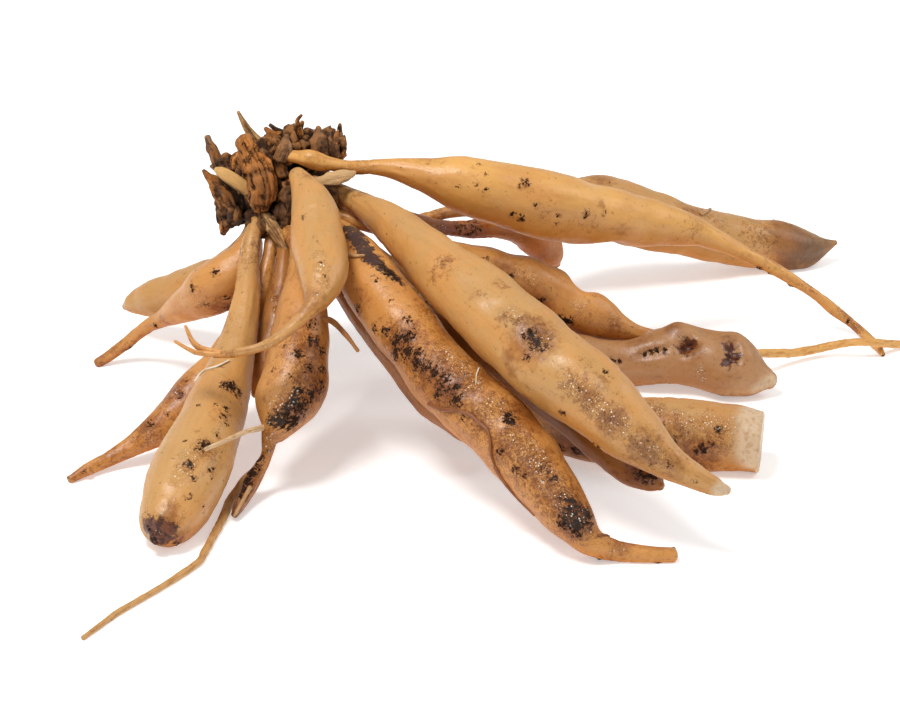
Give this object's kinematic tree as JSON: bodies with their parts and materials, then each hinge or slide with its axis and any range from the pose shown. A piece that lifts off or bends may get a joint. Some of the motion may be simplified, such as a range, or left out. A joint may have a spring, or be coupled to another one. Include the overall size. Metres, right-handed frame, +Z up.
{
  "type": "shatavari root",
  "caption": "Fresh shatavari root cluster: a short woody crown with a bunch of fleshy storage roots that taper to thin tails, lying on a surface.",
  "frame": {"origin": "middle of the footprint, on the surface that the roots rest on", "axes": "+X to the right, the way the long roots run from the crown; +Y to the back; +Z up"},
  "size_m": [0.2022, 0.1968, 0.0656],
  "materials": {
    "crown_bark": "rough, damp, fibrous bark",
    "pale_root": "smooth wet skin with fine dirt",
    "brown_root": "smooth wet skin with fine dirt"
  },
  "bodies": {
    "root": {"crown": "crown_bark", "root_main": "pale_root", "root_upper": "pale_root", "root_back": "brown_root", "root_hanging": "pale_root", "root_stub": "brown_root", "root_front": "pale_root", "root_wavy": "brown_root", "root_split": "brown_root", "root_cut": "pale_root", "root_blunt": "brown_root", "root_under": "brown_root", "root_big_left": "pale_root", "root_muddy": "brown_root", "root_tailed": "brown_root", "root_round": "brown_root", "root_low": "brown_root", "root_inner": "brown_root"}
  },
  "joints": []
}
